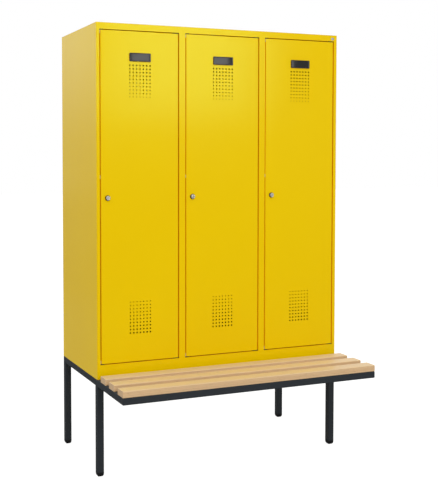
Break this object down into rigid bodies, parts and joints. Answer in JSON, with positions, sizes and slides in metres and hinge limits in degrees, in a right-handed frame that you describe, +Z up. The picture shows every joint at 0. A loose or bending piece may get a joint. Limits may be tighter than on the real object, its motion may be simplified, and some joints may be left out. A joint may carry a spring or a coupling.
{
  "type": "locker with bench",
  "caption": "Sheet-steel clothes locker with hinged perforated doors and cam locks, on a square-tube base that runs forward as a slatted wooden bench.",
  "frame": {"origin": "on the floor, at the middle of the footprint of locker and bench together", "axes": "+Z up; the doors face -Y and the bench runs forward towards -Y; +X is the right-hand side seen from the front"},
  "size_m": [1.2, 0.81, 1.95],
  "materials": {
    "yellow_paint": "satin powder coat with a fine orange peel",
    "dark_paint": "satin powder coat",
    "beech": "clear lacquered, satin",
    "grey_plastic": "glossy moulded plastic",
    "black_plastic": "matt moulded plastic",
    "chrome": "bright plated",
    "zinc_steel": "zinc plated, lightly brushed"
  },
  "bodies": {
    "locker": {"left_side_panel": "yellow_paint", "right_side_panel": "yellow_paint", "back_panel": "yellow_paint", "top_panel": "yellow_paint", "bottom_panel": "yellow_paint", "front_frame": "yellow_paint", "partition_1": "yellow_paint", "partition_2": "yellow_paint", "hat_shelf_1": "yellow_paint", "hat_shelf_2": "yellow_paint", "hat_shelf_3": "yellow_paint", "clothes_rail_1": "zinc_steel", "clothes_rail_2": "zinc_steel", "clothes_rail_3": "zinc_steel", "upper_pivot_1": "black_plastic", "upper_pivot_2": "black_plastic", "upper_pivot_3": "black_plastic", "lower_pivot_1": "black_plastic", "lower_pivot_2": "black_plastic", "lower_pivot_3": "black_plastic", "front_leg_left": "dark_paint", "front_leg_right": "dark_paint", "rear_leg_left": "dark_paint", "rear_leg_right": "dark_paint", "front_foot_left": "black_plastic", "front_foot_right": "black_plastic", "rear_foot_left": "black_plastic", "rear_foot_right": "black_plastic", "side_rail_left": "dark_paint", "side_rail_right": "dark_paint", "bench_front_rail": "dark_paint", "cross_rail": "dark_paint", "rear_rail": "dark_paint", "bench_slat_1": "beech", "bench_slat_2": "beech", "bench_slat_3": "beech"},
    "door_1": {"door_panel_1": "yellow_paint", "door_stiffener_1": "yellow_paint", "label_holder_1": "grey_plastic", "lock_housing_1": "chrome"},
    "door_2": {"door_panel_2": "yellow_paint", "door_stiffener_2": "yellow_paint", "label_holder_2": "grey_plastic", "lock_housing_2": "chrome"},
    "door_3": {"door_panel_3": "yellow_paint", "door_stiffener_3": "yellow_paint", "label_holder_3": "grey_plastic", "lock_housing_3": "chrome"},
    "lock_1": {"lock_cylinder_1": "chrome", "lock_cam_1": "zinc_steel"},
    "lock_2": {"lock_cylinder_2": "chrome", "lock_cam_2": "zinc_steel"},
    "lock_3": {"lock_cylinder_3": "chrome", "lock_cam_3": "zinc_steel"},
    "hook_1_1": {"coat_hook_1_1": "black_plastic"},
    "hook_1_2": {"coat_hook_1_2": "black_plastic"},
    "hook_2_1": {"coat_hook_2_1": "black_plastic"},
    "hook_2_2": {"coat_hook_2_2": "black_plastic"},
    "hook_3_1": {"coat_hook_3_1": "black_plastic"},
    "hook_3_2": {"coat_hook_3_2": "black_plastic"}
  },
  "joints": [
    {"name": "door_1_hinge", "type": "hinge", "parent": "locker", "child": "door_1", "pos_m": [-0.229, -0.089, 0.49], "axis": [0, 0, 1], "range_deg": [0, 110]},
    {"name": "door_2_hinge", "type": "hinge", "parent": "locker", "child": "door_2", "pos_m": [0.171, -0.089, 0.49], "axis": [0, 0, 1], "range_deg": [0, 110]},
    {"name": "door_3_hinge", "type": "hinge", "parent": "locker", "child": "door_3", "pos_m": [0.571, -0.089, 0.49], "axis": [0, 0, 1], "range_deg": [0, 110]},
    {"name": "lock_1_turn", "type": "hinge", "parent": "door_1", "child": "lock_1", "pos_m": [-0.55, -0.1, 1.204], "axis": [0, 1, 0], "range_deg": [0, 90]},
    {"name": "lock_2_turn", "type": "hinge", "parent": "door_2", "child": "lock_2", "pos_m": [-0.15, -0.1, 1.204], "axis": [0, 1, 0], "range_deg": [0, 90]},
    {"name": "lock_3_turn", "type": "hinge", "parent": "door_3", "child": "lock_3", "pos_m": [0.25, -0.1, 1.204], "axis": [0, 1, 0], "range_deg": [0, 90]},
    {"name": "hook_1_1_slide", "type": "slide", "parent": "locker", "child": "hook_1_1", "axis": [1, 0, 0], "range_m": [-0.12, 0.05]},
    {"name": "hook_1_2_slide", "type": "slide", "parent": "locker", "child": "hook_1_2", "axis": [1, 0, 0], "range_m": [-0.05, 0.12]},
    {"name": "hook_2_1_slide", "type": "slide", "parent": "locker", "child": "hook_2_1", "axis": [1, 0, 0], "range_m": [-0.12, 0.05]},
    {"name": "hook_2_2_slide", "type": "slide", "parent": "locker", "child": "hook_2_2", "axis": [1, 0, 0], "range_m": [-0.05, 0.12]},
    {"name": "hook_3_1_slide", "type": "slide", "parent": "locker", "child": "hook_3_1", "axis": [1, 0, 0], "range_m": [-0.12, 0.05]},
    {"name": "hook_3_2_slide", "type": "slide", "parent": "locker", "child": "hook_3_2", "axis": [1, 0, 0], "range_m": [-0.05, 0.12]}
  ]
}
